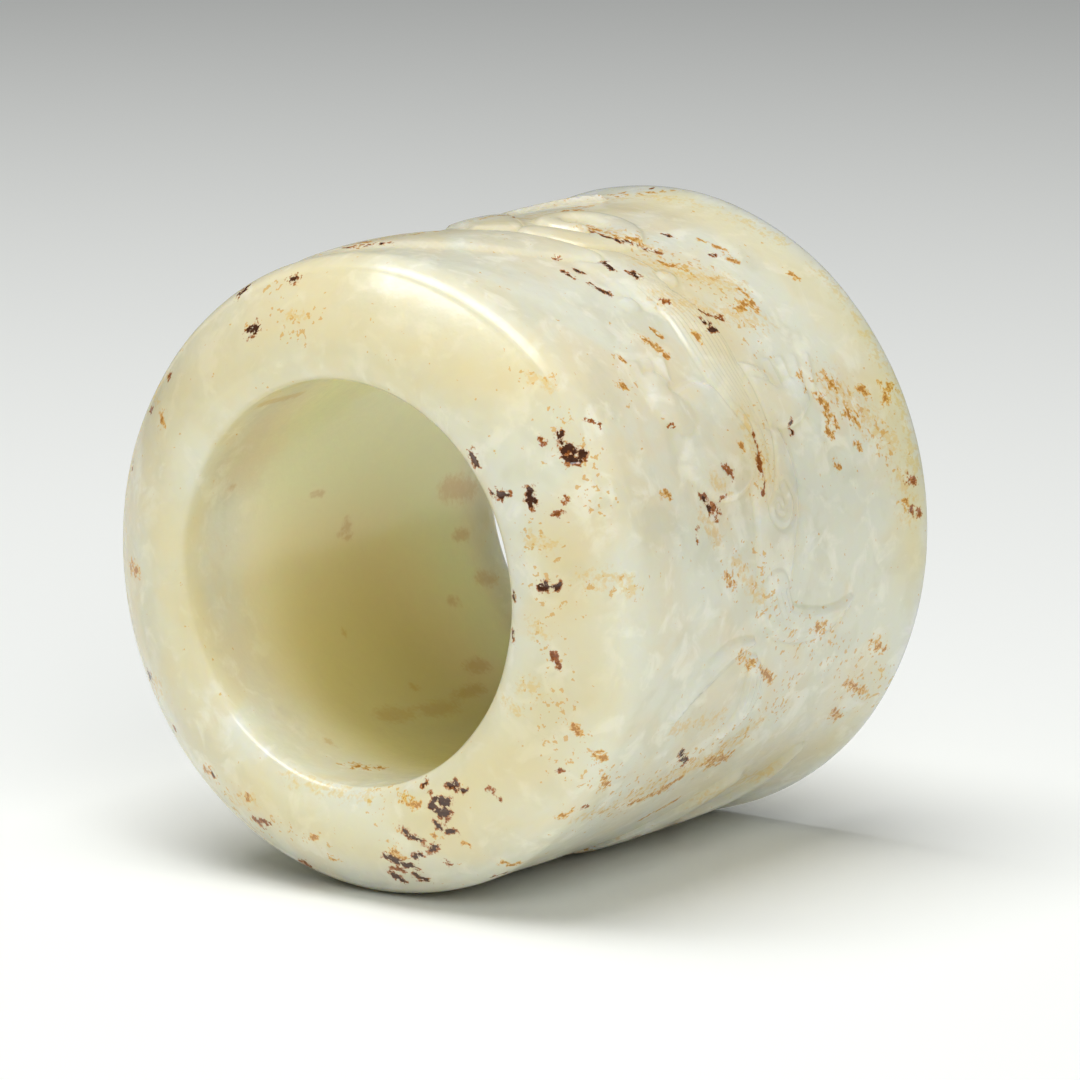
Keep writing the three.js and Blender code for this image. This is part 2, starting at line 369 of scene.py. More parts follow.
BORE_STAINS = {
    "big cloud": (446, 489, 470, 489, 13),
    "small cloud": (455, 536, 466, 534, 7),
    "dot by the edge": (450, 601, 458, 602, 6),
    "cloud by the edge": (478, 578, 494, 580, 8),
    "upper brown": (345, 520, 351, 530, 6),
    "upper brown tail": (340, 534, 350, 538, 4),
    "upper left dot": (309, 494, 322, 494, 4),
    "middle dot": (341, 630, 345, 634, 4),
    "low right cloud": (470, 668, 484, 664, 10),
    "low dash": (404, 706, 412, 710, 4),
    "low dot": (412, 686, 422, 690, 5),
    "low left, dash": (326, 740, 343, 748, 4),
    "low band": (385, 716, 402, 714, 12),
    "low band, right": (428, 711, 450, 706, 12),
    "low right band": (460, 694, 480, 688, 8),
    "top band": (262, 404, 300, 394, 7),
    "left fleck": (228, 489, 236, 486, 4),
}

# Each kind's stains, how many more are scattered on the far side, and the largest of those in millimetres.
STAIN_KINDS = {
    "black": (BLACK_STAINS, 26, 0.32),
    "russet": (RUSSET_STAINS, 34, 0.4),
    "orange": (ORANGE_STAINS, 60, 0.36),
    "pale": (PALE_STAINS, 26, 0.6),
    "bore_stain": (BORE_STAINS, 0, 1.0),
    "freckled": (FRECKLED_AREAS, 12, 2.5),
    "cream": (CREAM_CLOUDS, 9, 3.5),
}
# The last two fields place the bore's painted light and its painted shade.
STAIN_FIELDS = (*STAIN_KINDS, "in_bore", "bore_floor_shade")

# Noises that vary the stone: the size of their features in millimetres, then detail, roughness, distortion.
JADE_NOISES = {
    "clouds": (4.5, 4.0, 0.5, 0.8),
    "shade": (2.6, 3.0, 0.5, 0.3),
    "veins": (1.5, 4.0, 0.55, 0.5),
    "wear": (1.1, 3.0, 0.55, 0.0),
    "freckles": (0.34, 2.0, 0.6, 0.2),
    "coarse_grit": (0.33, 3.0, 0.6, 0.3),
    "fine_grit": (0.14, 2.0, 0.6, 0.0),
}

# How the stone's colours lie over each other, from the ground up. Each row: the colour laid on, what it
# follows, the noise that breaks that up and by how much, where the sum starts it and fills it, and how
# much it covers there.
JADE_LAYERS = (
    ("cloud", "clouds", "grit", 0.0, 0.35, 0.62, 1.0),
    ("grey", "shade", "grit", 0.0, 0.5, 0.64, 0.4),
    ("white", "veins", "grit", 0.0, 0.5, 0.68, 0.5),
    ("cream", "cream", "grit", 0.0, -0.7, 1.2, 0.6),
    # The next row is painted light: a paler colour deep in the bore, for light that shines through the stone.
    ("bore", "in_bore", "grit", 0.0, 0.0, 1.0, 1.0),
    # The next row is painted shade: a darker olive over the bore's lower back.
    ("bore_floor_shade", "bore_floor_shade", "grit", 0.0, 0.0, 1.0, 1.0),
    ("skin", "pale", "grit", 3.4, -0.5, 1.5, 0.52),
    ("bore_stain", "bore_stain", "grit", 0.8, -0.5, 0.7, 0.36),
    ("freckle", "freckled", "freckles", 1.0, 0.715, 0.745, 0.7),
    ("orange", "orange", "grit", 2.8, -0.4, 0.4, 0.85),
    ("orange_heart", "orange", "grit", 3.4, 0.6, 1.0, 0.7),
    ("russet", "russet", "grit", 2.4, -0.4, 0.4, 1.0),
    ("russet_heart", "russet", "grit", 2.8, 0.4, 0.8, 0.7),
    ("black", "black", "grit", 1.9, -0.18, 0.18, 0.93),
)


def linear(hex_colour):
    """sRGB hex text to linear red, green and blue."""
    parts = [int(hex_colour[i:i + 2], 16) / 255 for i in (0, 2, 4)]
    return tuple(c / 12.92 if c <= 0.04045 else ((c + 0.055) / 1.055) ** 2.4 for c in parts)


def colour(name, description, hex_colour):
    """A colour property from an sRGB hex value."""
    return FloatVectorProperty(name=name, description=description, subtype="COLOR", size=3, min=0, max=1,
                               default=linear(hex_colour))


def length(name, description, millimetres):
    """A length property in metres from a size in millimetres."""
    return FloatProperty(name=name, description=description, unit="LENGTH", precision=5,
                         default=millimetres * MM)


def amount(name, description, value):
    """A plain number property."""
    return FloatProperty(name=name, description=description, default=value, precision=3)


def angle(name, description, degrees):
    """An angle property from degrees."""
    return FloatProperty(name=name, description=description, subtype="ANGLE", unit="ROTATION", precision=3,
                         default=math.radians(degrees))


def spot(name, description, millimetres):
    """A place in metres from one in millimetres."""
    return FloatVectorProperty(name=name, description=description, subtype="XYZ", unit="LENGTH", size=3,
                               precision=4, default=tuple(part * MM for part in millimetres))


class RingSizes(bpy.types.PropertyGroup):
    """The turned form of the ring. Its length comes from the solid."""
    ring_length: length("Length", "From the front end to the rear end", (cad_high.y - cad_low.y) / MM)
    bore_radius: length("Bore radius", "Bore at the front, its tighter end", 9.55)
    bore_rear_radius: length("Rear bore radius", "Bore at the rear end", 10.3)
    lip_round: length("Lip rounding", "Rounding where the bore meets each end", 0.8)
    crown_width: length("Crown width", "From the bore out to the foremost circle of the front end", 1.15)
    crease_radius: length("Crease radius", "Outer edge of the front bevel", 15.15)
    bevel_length: length("Bevel length", "From the foremost circle back to the crease", 2.7)
    bevel_curve: amount("Bevel curve", "1 is a straight bevel, more is rounder", 1.9)
    crease_polish: length("Crease polish", "How far polishing softened the crease to each side", 0.8)
    rear_radius: length("Rear radius", "Ground of the side at the rear end", 15.3)
    rear_edge_round: length("Rear edge rounding", "Rounding of the rear rim", 0.5)
    rest_depth: length("Resting flat", "How far the resting flat is cut into the rear rim", 0.26)


class ReliefSizes(bpy.types.PropertyGroup):
    """The low relief round the side, and how finely it is carved."""
    rise: length("Rise", "Height of the rear rim over the ground of the relief", 0.38)
    figure_rise: length("Figure rise", "Height of the worn figures over their ground", 0.28)
    shoulder: length("Shoulder", "Width of the figures' rounded edges", 0.55)
    plain_front: length("Plain front", "Uncarved band behind the crease", 0.8)
    plain_rear: length("Rear rim", "Raised rim at the rear end", 1.4)
    line_depth: length("Line depth", "Depth of the fine cut lines", 0.075)
    line_width: length("Line width", "Half width of the fine cut lines", 0.11)
    beast_length: length("Beast length", "The hornless dragon, from nose to the bend of its tail", 23)
    beast_angle: angle("Beast angle", "From +X towards the top, at its shoulder", 26)
    beast_forward: length("Beast forward", "How far its spine runs before the carved band's middle", 1.7)
    cloud_length: length("Cloud length", "Each cloud, from end to end", 15)
    top_cloud_angle: angle("Top cloud angle", "From +X towards the top", 99)
    low_cloud_angle: angle("Low cloud angle", "From +X towards the top", -69)
    unevenness: length("Unevenness", "Depth of the worn, hand-ground waves of the surface", 0.05)


class JadeColours(bpy.types.PropertyGroup):
    """The stone's colours, from its ground to the stains of its skin, and the painted light and shade of its
    bore.
    """
    ground: colour("Ground", "Warm ground of the stone", "E3DCC1")
    cloud: colour("Cloud", "Cool clouds in the stone", "E1E2D2")
    grey: colour("Grey", "Greyer patches", "D3D2BC")
    white: colour("White", "White veins and cotton-like flecks", "F6F4E6")
    cream: colour("Cream", "Cream areas near the edges", "DFD2A3")
    # Painted light: a paler colour inside the bore, standing in for light that shines through the stone.
    bore: colour("Bore", "Inside the bore", "FFF6D4")
    # Painted shade: a darker olive on the bore's lower back, where the bore lies in shade.
    bore_floor_shade: colour("Bore floor", "Lower back of the bore", "E3DA92")
    skin: colour("Skin", "Palest tan stains", "E1C06E")
    bore_stain: colour("Bore stain", "Stains inside the bore", "CDA53C")
    freckle: colour("Freckle", "Smallest flecks", "D8AA54")
    orange: colour("Orange", "Orange flecks", "DCAC4E")
    orange_heart: colour("Orange heart", "Middles of the orange flecks", "AC6D28")
    russet: colour("Russet", "Red-brown spots", "AF6E30")
    russet_heart: colour("Russet heart", "Middles of the red-brown spots", "7C4520")
    black: colour("Black", "Earth in the pits", "47291A")


class StageView(bpy.types.PropertyGroup):
    """The table, the lights, and the camera of the photograph."""
    table_colour: colour("Table", "Paint of the table top", "F9FBF8")
    wall_colour: colour("Walls", "Colour of the studio's walls", "F4F6F8")
    wall_light: amount("Wall light", "Brightness of the studio's walls", 0.1)
    overhead_stand: spot("Overhead softbox", "Middle of the overhead softbox", (-40, -85, 490))
    overhead_wide: length("Overhead width", "Overhead softbox, from side to side", 500)
    overhead_deep: length("Overhead depth", "Overhead softbox, from front to back", 270)
    overhead_power: amount("Overhead power", "Watts of the overhead softbox", 2.4)
    fill_stand: spot("Fill softbox", "Middle of the square softbox beside the ring", (370, -290, 300))
    fill_wide: length("Fill width", "Fill softbox, along each side", 300)
    fill_power: amount("Fill power", "Watts of the fill softbox", 1.08)
    fill_aim: length("Fill aim", "Height over the table that the fill softbox points at", 15)
    camera_azimuth: angle("Camera azimuth", "Round the ring from its front end", 36.3)
    camera_elevation: angle("Camera elevation", "Over the table", 10.66)
    camera_distance: length("Camera distance", "From the camera to the middle of the ring", 300)
    lens_mm: amount("Lens", "Focal length in millimetres", 208.6)
    middle_ahead: length("Middle ahead", "How far the point looked at lies before the ring's middle", -0.2)
    middle_height: length("Middle height", "Height of the point looked at", 15.28)
    aim_right: length("Aim right", "How far right of the middle the camera aims", 1.711)
    aim_up: length("Aim up", "How far over the middle the camera aims", 0.062)


def smooth(x):
    """0 below 0, 1 above 1, and the cubic 3x^2 - 2x^3 between them."""
    k = np.clip(x, 0, 1)
    return k * k * (3 - 2 * k)


def mix(a, b, k):
    """A straight blend from a to b."""
    return a + (b - a) * k


def spread(marks, weights, count):
    """count + 1 places from the first mark to the last, closer together where the weight is higher.

    The weight runs straight between marks; places are equal steps of its running sum.
    """
    fine = np.linspace(marks[0], marks[-1], DENSITY_SAMPLES)
    density = np.interp(fine, marks, weights)
    total = np.concatenate([[0], np.cumsum((density[1:] + density[:-1]) / 2)])
    return np.interp(np.linspace(0, total[-1], count + 1), total, fine)


class Carving:
    """The relief, worked out on the unrolled side, where a place is (s, y): s round the side from +X
    towards the top, and y back from the front end, both in metres."""

    def __init__(self, ring, relief):
        self.ring = ring
        self.relief = relief
        self.start = ring.bevel_length + relief.plain_front
        self.end = ring.ring_length - relief.plain_rear
        self.middle = (self.start + self.end) / 2
        self.unroll = self.ground(self.middle)
        self.girth = FULL_TURN * self.unroll
        self.forms = []
        opposite = relief.beast_angle + math.pi
        self.beast(dict(angle=relief.beast_angle, forward=relief.beast_forward, size=relief.beast_length))
        self.beast(dict(angle=opposite, forward=relief.beast_forward, size=relief.beast_length))
        self.cloud(dict(angle=relief.top_cloud_angle, forward=0, size=relief.cloud_length))
        self.wisp(dict(angle=relief.low_cloud_angle, forward=0, size=relief.cloud_length))

    def ground(self, y):
        """Radius of the smooth side under the relief: a cone from the crease to the rear."""
        ring = self.ring
        return mix(ring.crease_radius, ring.rear_radius,
                   (y - ring.bevel_length) / (ring.ring_length - ring.bevel_length))

    def spine(self, place, points):
        """Rows of (s, y, half width) along a Catmull-Rom curve through points [along, across, half width],
        which are shares of the figure's size from its middle."""
        points = np.array(points, float)
        if len(points) > 2:
            before = 2 * points[0] - points[1]
            after = 2 * points[-1] - points[-2]
            p = np.vstack([before, points, after])
            k = np.linspace(0, 1, SPINE_STEPS, endpoint=False)[:, None]
            pieces = []
            for a, b, c, d in zip(p[:-3], p[1:-2], p[2:-1], p[3:]):
                pieces.append(0.5 * (2 * b + (c - a) * k + (2 * a - 5 * b + 4 * c - d) * k ** 2
                                     + (3 * b - a - 3 * c + d) * k ** 3))
            points = np.vstack(pieces + [points[-1:]])
        along, across, half = points.T * place["size"]
        return np.stack([place["angle"] * self.unroll + along,
                         self.middle - place["forward"] + across, half], 1)

    def form(self, place, points, lines=0, rise=1.0):
        """A raised band along a spine, with a cut outline and, where asked, fine lines along it."""
        self.forms.append(dict(spine=self.spine(place, points), lines=lines, rise=rise))

    def boss(self, place, along, across, radius, rise=1.0):
        """A round boss: a band too short to show its length."""
        self.form(place, [[along, across, radius], [along + radius / 100, across, radius]], rise=rise)

    def curl_points(self, along, across, radius, start, turns, half):
        """Points of a curl: a circle's turn whose reach shrinks evenly, and whose width shrinks too."""
        k = np.linspace(0, 1, CURL_POINTS)
        turn = (start + turns * k) * FULL_TURN
        reach = radius * (1 - CURL_SHRINK * k)
        width = half * (1 - CURL_THIN * k)
        return np.stack([along + reach * np.cos(turn), across + reach * np.sin(turn), width], 1)

    def toes(self, place, along, across, count, gap, toe, slope):
        """Toes of a paw: short bands side by side, fanned about the paw's direction."""
        for i in range(count):
            off = i - (count - 1) / 2
            lean = slope + TOE_FAN * off
            root = across + off * gap
            tip = [along + toe * math.cos(lean), root + toe * math.sin(lean), TOE_TIP]
            self.form(place, [[along, root, TOE_ROOT], tip], rise=TOE_RISE)

    def beast(self, place):
        """The hornless dragon, seen from above."""
        # Body
        self.form(place, [[0.02, 0.06, 0.08], [-0.12, 0.075, 0.08], [-0.24, 0.05, 0.07],
                          [-0.34, 0.04, 0.055]])
        # Tail and its two tufts
        self.form(place, [[-0.34, 0.04, 0.055], [-0.405, 0.09, 0.045], [-0.43, 0.18, 0.04],
                          [-0.43, 0.27, 0.03], [-0.4, 0.33, 0.012]], lines=6)
        self.form(place, [[-0.43, -0.02, 0.012], [-0.445, -0.1, 0.03], [-0.5, -0.19, 0.028],
                          [-0.56, -0.24, 0.012]], lines=4)
        self.form(place, [[-0.47, 0, 0.012], [-0.53, 0.03, 0.03], [-0.6, 0.03, 0.025],
                          [-0.65, -0.02, 0.01]], lines=4)
        # Near shoulder, leg and paw
        self.boss(place, 0, -0.078, 0.13)
        self.form(place, [[0.07, -0.16, 0.05], [0.11, -0.185, 0.042], [0.14, -0.175, 0.034]])
        self.toes(place, 0.14, -0.172, 3, 0.037, 0.055, 0.3)
        # Far shoulder, leg and paw
        self.boss(place, 0.07, 0.115, 0.075)
        self.form(place, [[0.05, 0.12, 0.06], [0.03, 0.2, 0.045], [0.05, 0.255, 0.038]])
        self.toes(place, 0.055, 0.26, 4, 0.036, 0.075, 0.25)
        # Curl on the body
        self.form(place, self.curl_points(-0.165, 0.07, 0.045, 0.1, 1.1, 0.014))
        # Mane, with its hair
        self.form(place, [[0.36, 0.04, 0.05], [0.28, 0.062, 0.06], [0.21, 0.058, 0.066],
                          [0.14, 0.052, 0.062], [0.06, 0.062, 0.048], [-0.015, 0.075, 0.032],
                          [-0.09, 0.06, 0.018], [-0.15, 0.04, 0.008]], lines=10)
        # Head and ears
        self.form(place, [[0.37, 0.02, 0.07], [0.42, 0.03, 0.09], [0.47, 0.01, 0.075],
                          [0.515, -0.02, 0.045]], rise=HEAD_RISE)
        self.boss(place, 0.335, -0.065, 0.026, rise=HEAD_RISE)
        self.boss(place, 0.385, 0.125, 0.028, rise=HEAD_RISE)

    def cloud(self, place):
        """A drifting cloud: a thick arched body, a curl under each end, and a wisp to the rear."""
        self.form(place, [[-0.52, -0.12, 0.05], [-0.34, -0.26, 0.12], [-0.12, -0.42, 0.16],
                          [0.14, -0.5, 0.17], [0.36, -0.42, 0.14], [0.52, -0.24, 0.09]])
        self.form(place, self.curl_points(0.42, -0.06, 0.19, 0.85, 1.1, 0.075))
        self.form(place, self.curl_points(-0.3, 0.12, 0.2, 0.75, -1.1, 0.075))
        self.form(place, [[-0.14, -0.1, 0.09], [0.06, 0.08, 0.11], [0.2, 0.3, 0.09], [0.12, 0.5, 0.05],
                          [-0.06, 0.58, 0.02]])

    def wisp(self, place):
        """A low cloud in the rear half of the side, and a small cloudlet ahead of it."""
        self.form(place, [[-0.5, 0.26, 0.03], [-0.32, 0.1, 0.09], [-0.08, 0.02, 0.12], [0.18, 0.06, 0.11],
                          [0.4, 0.18, 0.05]])
        self.form(place, self.curl_points(-0.12, 0.34, 0.17, 0.6, 1.1, 0.07))
        self.form(place, [[0.1, 0.3, 0.07], [0.28, 0.44, 0.06], [0.48, 0.48, 0.02]])
        self.form(place, [[-0.62, -0.42, 0.06], [-0.46, -0.5, 0.14], [-0.28, -0.46, 0.12],
                          [-0.18, -0.36, 0.04]])

    def nearest(self, spine, s, y):
        """For each place: how far inside the band's edge it is, and how far across the band, -1 to 1.

        Each place takes the segment of the spine that it lies deepest in.
        """
        inside = np.full(s.shape, -1.0)
        across = np.zeros(s.shape)
        width = np.full(s.shape, 1e-4)
        for a, b in zip(spine[:-1], spine[1:]):
            step = b[:2] - a[:2]
            from_s = s - a[0] - self.girth * np.round((s - a[0]) / self.girth)
            from_y = y - a[1]
            k = np.clip((from_s * step[0] + from_y * step[1]) / (step @ step), 0, 1)
            off_s = from_s - k * step[0]
            off_y = from_y - k * step[1]
            distance = np.hypot(off_s, off_y)
            half = mix(a[2], b[2], k)
            deeper = half - distance > inside
            side = np.sign(step[0] * off_y - step[1] * off_s)
            inside = np.where(deeper, half - distance, inside)
            across = np.where(deeper, side * distance / half, across)
            width = np.where(deeper, half, width)
        return inside, across, width

    def height(self, angle, y):
        """Height of the relief over the ground, less the fine cut lines.

        A band steps up over its shoulder and is domed by 1 - across^2 / 2; the highest band wins. An
        outline is a groove exp(-(d / w)^2) along the band's edge, and fine lines are a cosine across it.
        The rear rim rises over three of its widths.
        """
        relief = self.relief
        s = angle * self.unroll
        raised = np.zeros(s.shape)
        cut = np.zeros(s.shape)
        for form in self.forms:
            spine = form["spine"]
            reach = spine[:, 2].max() + 2 * relief.shoulder
            centre = (spine[:, 0].min() + spine[:, 0].max()) / 2
            wide = (spine[:, 0].max() - spine[:, 0].min()) / 2 + reach
            from_centre = s - centre - self.girth * np.round((s - centre) / self.girth)
            near = np.abs(from_centre) < wide
            near &= (y > spine[:, 1].min() - reach) & (y < spine[:, 1].max() + reach)
            inside, across, half = self.nearest(spine, s[near], y[near])
            step = smooth(inside / relief.shoulder + 0.5)
            band = form["rise"] * step * (1 - DOME * np.minimum(across ** 2, 1))
            on_top = band >= raised[near]
            groove = cut[near]
            if form["lines"]:
                ripple = 0.5 + 0.5 * np.cos(FULL_TURN * form["lines"] * (across + 1) / 2)
                fade = smooth(inside / relief.line_width) * smooth(half / HAIR_FADE)
                groove = np.where(on_top, ripple * fade, groove)
            else:
                groove = np.where(on_top, 0, groove)
            edge = form["rise"] * np.exp(-(inside / relief.line_width) ** 2)
            cut[near] = np.maximum(groove, edge)
            raised[near] = np.maximum(raised[near], band)
        carved = smooth((y - self.start) / relief.shoulder)
        rim = smooth((y - self.end + 2 * relief.plain_rear) / (3 * relief.plain_rear))
        height = np.maximum(relief.figure_rise * raised * carved, relief.rise * rim)
        return height - relief.line_depth * cut * carved * (1 - rim)


def waves(angle, y, depth):
    """Shallow hand-ground waves, 0 to -depth: a sum of sines of seeded direction and phase."""
    rng = np.random.default_rng(WAVE_SEED)
    total = np.zeros(np.broadcast(angle, y).shape)
    for _ in range(WAVE_COUNT):
        round_count = rng.integers(*WAVES_ROUND)
        along = rng.uniform(*WAVES_ALONG) * FULL_TURN / WAVES_LENGTH
        phase = rng.uniform(0, FULL_TURN)
        total += np.sin(round_count * angle + rng.choice((-1, 1)) * along * y + phase)
    return -depth * smooth(0.5 + total / WAVE_COUNT)


def section(ring, carving):
    """Rows of the ring's section, as arrays of radius, y, and whether the row is on the carved side.

    In order: up the bore, a quarter ellipse over the lip, the bevel y = length * k^curve, a quadratic
    Bezier over the crease, the cone of the side, and the same in reverse at the rear.
    """
    crown = ring.bore_radius + ring.crown_width
    end = ring.ring_length
    bore_y = np.linspace(end - ring.lip_round, ring.lip_round, BORE_ROWS)
    bore_radius = mix(ring.bore_radius, ring.bore_rear_radius, bore_y / end)
    quarter = np.linspace(0, math.pi / 2, ROUNDING_STEPS)[1:]
    front_lip = (mix(crown, ring.bore_radius, np.cos(quarter)), ring.lip_round * (1 - np.sin(quarter)))

    bevel_run = ring.crease_radius - crown
    slope = np.array([1, ring.bevel_curve * ring.bevel_length / bevel_run])
    slope *= ring.crease_polish / np.linalg.norm(slope)
    k = np.linspace(0, 1, BEVEL_ROWS)[1:-1]
    k = k[k * bevel_run < bevel_run - slope[0] * CREASE_CLEARANCE]
    bevel = (mix(crown, ring.crease_radius, k), ring.bevel_length * k ** ring.bevel_curve)

    corner = np.array([ring.crease_radius, ring.bevel_length])
    side_start = corner[1] + ring.crease_polish
    side_step = np.array([carving.ground(side_start) - corner[0], ring.crease_polish])
    t = np.linspace(0, 1, ROUNDING_STEPS)[:-1, None]
    crease = (1 - t) ** 2 * (corner - slope) + 2 * t * (1 - t) * corner + t ** 2 * (corner + side_step)

    side_end = end - ring.rear_edge_round
    side_marks = np.concatenate([[side_start], SIDE_MARKS * end, [side_end]])
    side_y = spread(side_marks, SIDE_DENSITY, SIDE_ROWS)

    rim = carving.ground(side_end) + carving.relief.rise
    edge = np.linspace(0, math.pi / 2, ROUNDING_STEPS - 1)[1:]
    rear_edge = (rim - ring.rear_edge_round * (1 - np.cos(edge)),
                 end - ring.rear_edge_round * (1 - np.sin(edge)))
    face = np.linspace(rim - ring.rear_edge_round, ring.bore_rear_radius + ring.lip_round,
                       ROUNDING_STEPS - 1)[1:]
    back = np.linspace(0, math.pi / 2, ROUNDING_STEPS)[1:-1]
    rear_lip = (ring.bore_rear_radius + ring.lip_round * (1 - np.sin(back)),
                end - ring.lip_round * (1 - np.cos(back)))

    parts = [(bore_radius, bore_y), front_lip, bevel, (crease[:, 0], crease[:, 1]),
             (carving.ground(side_y), side_y), rear_edge, (face, np.full(len(face), end)), rear_lip]
    radius, y = (np.concatenate(column) for column in zip(*parts))
    carved = np.concatenate([np.full(len(part_y), part_y is side_y) for _, part_y in parts])
    return radius, y, carved


def ring_surface(ring, relief):
    """The ring as a grid closed both ways: each row of the section is carried round the bore, the side is
    raised by the relief, and what would leave the solid's box is held at it, so the ring lies flat."""
    carving = Carving(ring, relief)
    radius, y, carved = section(ring, carving)
    angles = np.radians(spread(ROUND_MARKS, ROUND_DENSITY, COLUMNS))[:-1]
    angle_grid, y_grid = np.meshgrid(angles, y)
    reach = np.repeat(radius[:, None], len(angles), 1)
    reach[carved] += carving.height(angle_grid[carved], y_grid[carved])
    wear = waves(angle_grid, y_grid, relief.unevenness)
    in_bore = (np.arange(len(y)) < BORE_ROWS)[:, None]
    reach += np.where(in_bore, BORE_WEAR * wear, wear * np.where(carved[:, None], 1, BEVEL_WEAR))
    rear_height = ring.rear_radius + relief.rise - ring.rest_depth
    axis_height = mix(ring.crease_radius, rear_height, y_grid / ring.ring_length)
    points = np.stack([reach * np.cos(angle_grid), y_grid - ring.ring_length / 2,
                       reach * np.sin(angle_grid) + axis_height], -1)
    return np.clip(points, np.array(cad_low), np.array(cad_high))


def photo_spots(view, tree, pixels):
    """Places on the ring's surface under pixels (x, y) of the photograph.

    A ray leaves the camera through each pixel; one that just misses the ring takes the point nearest to it.
    """
    stand, right, up, backward = camera_frame(view)
    spots = []
    for x, y in pixels:
        across = (x / PHOTO_PIXELS - 0.5) * SENSOR_MM / view.lens_mm
        above = (0.5 - y / PHOTO_PIXELS) * SENSOR_MM / view.lens_mm
        ray = (right * across + up * above - backward).normalized()
        hit = tree.ray_cast(stand, ray)[0] or tree.find_nearest(stand + ray * view.camera_distance)[0]
        spots.append(hit)
    return np.array(spots)


def stain_field(points, starts, ends, halves):
    """For each point, the highest of 1 - distance / half width over short lines from starts to ends.

    It is 1 on a line, 0 at the stain's mean edge and falls on to -2, so noise can move the edge.
    """
    field = np.full(len(points), -2.0)
    for start, end, half in zip(starts, ends, halves):
        along = end - start
        k = np.clip((points - start) @ along / max(along @ along, 1e-12), 0, 1)
        distance = np.linalg.norm(points - start - k[:, None] * along, axis=1)
        field = np.maximum(field, 1 - distance / half)
    return field


def scattered(points, rng, count, largest):
    """Stains where the photograph doesn't look: short lines from seeded places on the far side."""
    rows, columns = points.shape[:2]
    row = rng.integers(BORE_ROWS + BEVEL_ROWS // 2, rows, count)
    first, last = (int(columns * share) for share in FAR_COLUMNS)
    column = rng.integers(first, last, count) % columns
    starts = points[row, column]
    ends = starts + rng.normal(0, STAIN_STRAY * largest, (count, 3))
    return starts, ends, largest * rng.uniform(SMALLEST_SHARE, 1, count) ** SIZE_POWER


def stain_attributes(mesh, points, view):
    """Writes the stain fields of each kind on the vertices, and the masks of the bore's painted light and
    painted shade.
    """
    flat = points.reshape(-1, 3)
    tree = BVHTree.FromPolygons(flat.tolist(), [tuple(p.vertices) for p in mesh.polygons])
    pixel = view.camera_distance * SENSOR_MM / view.lens_mm / PHOTO_PIXELS
    rng = np.random.default_rng(STAIN_SEED)
    fields = {}
    for kind, (stains, count, largest) in STAIN_KINDS.items():
        marks = np.array(list(stains.values()), float)
        starts = photo_spots(view, tree, marks[:, 0:2])
        ends = photo_spots(view, tree, marks[:, 2:4])
        halves = marks[:, 4] * pixel
        if count:
            more = scattered(points, rng, count, largest * MM)
            starts, ends, halves = (np.concatenate(pair) for pair in zip((starts, ends, halves), more))
        fields[kind] = stain_field(flat, starts, ends, halves)
        if kind == "black":
            halo = stain_field(flat, starts, ends, halves + HALO_PIXELS * pixel)
    fields["russet"] = np.maximum(fields["russet"], halo)
    # How deep a point lies in the bore: the bore's painted light follows it, and freckles are kept out of it.
    depth = np.zeros(points.shape[0])
    from_rear = np.arange(BORE_ROWS) / BORE_ROWS
    depth[:BORE_ROWS] = smooth(np.minimum(from_rear / BORE_FADE_REAR, from_rear[::-1] / BORE_FADE_FRONT))
    fields["in_bore"] = np.repeat(depth, points.shape[1])
    freckled = smooth((fields["freckled"] + FRECKLE_EDGE) / (FRECKLE_EDGE + FRECKLE_FULL))
    fields["freckled"] = FRECKLE_HELP * (freckled - fields["in_bore"])
    # Painted shade: deeper in from the rear and low down, the bore's lower back takes a darker olive.
    depth[:BORE_ROWS] *= smooth(from_rear / FLOOR_FADE_REAR)
    low = 1 - smooth((flat[:, 2] - FLOOR_FULL) / (FLOOR_GONE - FLOOR_FULL))
    fields["bore_floor_shade"] = np.repeat(depth, points.shape[1]) * low
    for name, field in fields.items():
        mesh.attributes.new(name, "FLOAT", "POINT").data.foreach_set("value", field.astype(np.float32))


def closed_grid_mesh(name, points):
    """A mesh from a grid of points that closes on itself both ways."""
    rows, columns = points.shape[:2]
    index = np.arange(rows * columns).reshape(rows, columns)
    beyond = np.roll(index, -1, 0)
    quads = np.stack([index, beyond, np.roll(beyond, -1, 1), np.roll(index, -1, 1)], -1).reshape(-1, 4)
    mesh = bpy.data.meshes.new(name)
    mesh.vertices.add(rows * columns)
    mesh.vertices.foreach_set("co", points.reshape(-1).astype(np.float32))
    mesh.loops.add(quads.size)
    mesh.loops.foreach_set("vertex_index", quads.reshape(-1).astype(np.int32))
    mesh.polygons.add(len(quads))
    mesh.polygons.foreach_set("loop_start", np.arange(0, quads.size, 4, dtype=np.int32))
    mesh.polygons.foreach_set("use_smooth", np.ones(len(quads), bool))
    mesh.update()
    mesh.validate()
    return mesh


def add_node(tree, kind, links=(), **settings):
    """Adds a node, sets its fields, and fills its inputs: a socket is linked and a value is set."""
    node = tree.nodes.new(kind)
    for field, value in settings.items():
        setattr(node, field, value)
    for name, value in dict(links).items():
        socket = node.inputs[name]
        if isinstance(value, bpy.types.NodeSocket):
            tree.links.new(value, socket)
        else:
            socket.default_value = value
    return node


def new_material(name):
    """An empty node material with a principled surface."""
    material = bpy.data.materials.new(name)
    material.use_nodes = True
    tree = material.node_tree
    tree.nodes.clear()
    surface = add_node(tree, "ShaderNodeBsdfPrincipled")
    add_node(tree, "ShaderNodeOutputMaterial", {"Surface": surface.outputs["BSDF"]})
    return material, tree, surface


